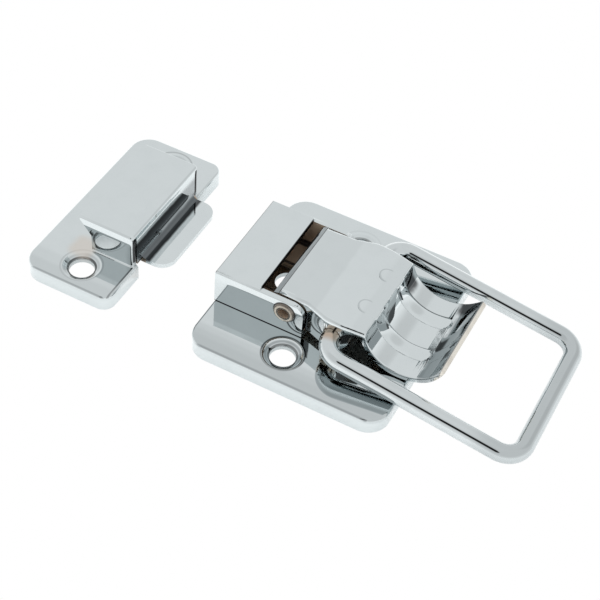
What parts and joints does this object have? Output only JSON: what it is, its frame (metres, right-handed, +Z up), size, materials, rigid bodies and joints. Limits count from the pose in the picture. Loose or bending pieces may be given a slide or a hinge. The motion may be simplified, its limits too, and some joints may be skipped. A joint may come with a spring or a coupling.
{
  "type": "draw latch with keeper",
  "caption": "Chrome-plated draw latch: a thumb lever hinged in a bent sheet housing, a wire bail on the lever and a hooded keeper plate.",
  "frame": {"origin": "on the mounting face, in the latch's middle plane, at the edge of the base plate that faces the keeper", "axes": "+X from the keeper towards the bail, +Y along the hinge axes, +Z up from the mounting face"},
  "size_m": [0.1038, 0.046, 0.0119],
  "materials": {
    "plated_sheet": "bright chrome plate on pressed steel sheet",
    "plated_tube": "bright chrome plate on steel tube",
    "plated_wire": "bright chrome plate on round steel wire"
  },
  "bodies": {
    "base": {"base_plate": "plated_sheet", "housing": "plated_sheet", "rivet": "plated_tube", "keeper": "plated_sheet"},
    "lever": {"lever": "plated_sheet"},
    "bail": {"bail": "plated_wire"}
  },
  "joints": [
    {"name": "lever_hinge", "type": "hinge", "parent": "base", "child": "lever", "pos_m": [0.0149, 0, 0.0085], "axis": [0, -1, 0], "range_deg": [0, 105]},
    {"name": "bail_hinge", "type": "hinge", "parent": "lever", "child": "bail", "pos_m": [0.025, 0, 0.008], "axis": [0, -1, 0], "range_deg": [0, 85]}
  ]
}
